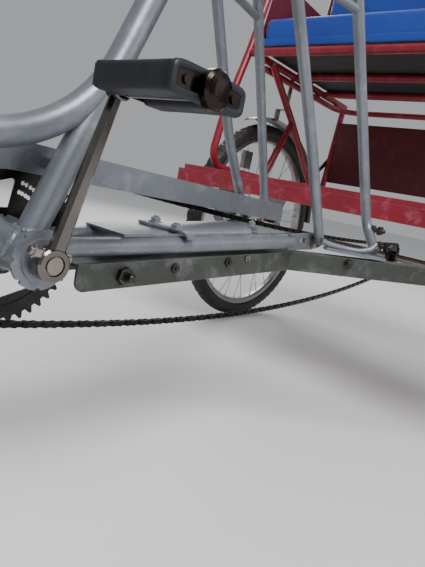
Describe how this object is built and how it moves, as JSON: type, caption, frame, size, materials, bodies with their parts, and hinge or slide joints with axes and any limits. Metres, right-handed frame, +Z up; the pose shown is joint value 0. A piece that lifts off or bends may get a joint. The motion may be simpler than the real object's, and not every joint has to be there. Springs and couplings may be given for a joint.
{
  "type": "passenger tricycle",
  "caption": "Pedal tricycle: step-through bicycle front with swan-neck tube, joined by irons to a red tubular chassis with a blue bench seat between two spoked rear wheels.",
  "frame": {"origin": "on the ground, at the middle of the overall length and width", "axes": "+X forward towards the steered wheel, +Y to the rider's left, +Z up"},
  "size_m": [2.492, 1.2, 1.2725],
  "materials": {
    "silver_paint": "silver paint over weld blobs, chipped and rusty at edges",
    "steel": "worn bright steel with rust at the edges",
    "black_steel": "black, oily",
    "saddle_cover": "black saddle cover",
    "rubber": "worn black rubber",
    "fender_paint": "black mudguard paint",
    "alloy": "dull alloy rim and plated spokes",
    "tyre": "black tyre rubber",
    "red_paint": "worn red paint with chips",
    "dark_red_sheet": "dull dark red paint",
    "wood": "dark plywood",
    "vinyl": "blue vinyl with a faint grain"
  },
  "bodies": {
    "frame": {"head_tube": "silver_paint", "swan_tube": "silver_paint", "down_tube": "silver_paint", "seat_tube": "silver_paint", "crank_shell": "silver_paint", "chain_stays": "silver_paint", "seat_stays": "silver_paint", "stay_sheet": "silver_paint", "spine_irons": "silver_paint", "hoop_stays": "silver_paint", "hoop_clamp": "silver_paint", "seat_post": "steel", "saddle_frame": "black_steel", "saddle": "saddle_cover", "chain": "black_steel", "chain_guard": "silver_paint", "cross_beam": "red_paint", "floor_joists": "red_paint", "beam_brackets": "silver_paint", "front_uprights": "red_paint", "arm_rails": "red_paint", "arm_panels": "dark_red_sheet", "back_frame": "red_paint", "side_rails": "red_paint", "seat_bars": "red_paint", "lower_loop": "red_paint", "rear_legs": "red_paint", "rear_panels": "dark_red_sheet", "floor_rails": "red_paint", "braces": "red_paint", "floor_board": "wood", "seat_board": "wood", "seat_cushion": "vinyl", "back_cushion": "vinyl", "axle_bearings": "steel", "rear_fenders": "fender_paint", "fender_brackets": "steel"},
    "steering": {"fork": "silver_paint", "front_axle": "steel", "stem": "steel", "handlebar": "steel", "grips": "rubber", "front_fender": "fender_paint", "fender_stays": "steel"},
    "front_wheel": {"front_wheel": "alloy", "front_tyre": "tyre"},
    "crankset": {"chainring": "black_steel", "crank_left": "steel", "crank_right": "steel", "crank_spindle": "steel"},
    "pedal_left": {"pedal_left": "steel", "pedal_left_blocks": "rubber"},
    "pedal_right": {"pedal_right": "steel", "pedal_right_blocks": "rubber"},
    "rear_axle": {"rear_axle": "steel", "sprocket": "black_steel", "wheel_right": "alloy", "tyre_right": "tyre"},
    "wheel_left": {"wheel_left": "alloy", "tyre_left": "tyre"}
  },
  "joints": [
    {"name": "steering", "type": "hinge", "parent": "frame", "child": "steering", "pos_m": [0.66582, 0, 0.792], "axis": [-0.3746, 0, 0.9272], "range_deg": [-50, 50]},
    {"name": "front_wheel_spin", "type": "hinge", "parent": "steering", "child": "front_wheel", "pos_m": [0.918, 0, 0.328], "axis": [0, 1, 0], "continuous": true},
    {"name": "crank_spin", "type": "hinge", "parent": "frame", "child": "crankset", "pos_m": [0.278, 0, 0.3177], "axis": [0, 1, 0], "continuous": true},
    {"name": "pedal_left_spin", "type": "hinge", "parent": "crankset", "child": "pedal_left", "pos_m": [0.24365, 0, 0.48215], "axis": [0, 1, 0], "continuous": true},
    {"name": "pedal_right_spin", "type": "hinge", "parent": "crankset", "child": "pedal_right", "pos_m": [0.31235, 0, 0.15325], "axis": [0, 1, 0], "continuous": true},
    {"name": "rear_axle_spin", "type": "hinge", "parent": "frame", "child": "rear_axle", "pos_m": [-0.874, 0, 0.328], "axis": [0, 1, 0], "continuous": true},
    {"name": "left_wheel_spin", "type": "hinge", "parent": "frame", "child": "wheel_left", "pos_m": [-0.874, 0.544, 0.328], "axis": [0, 1, 0], "continuous": true}
  ]
}
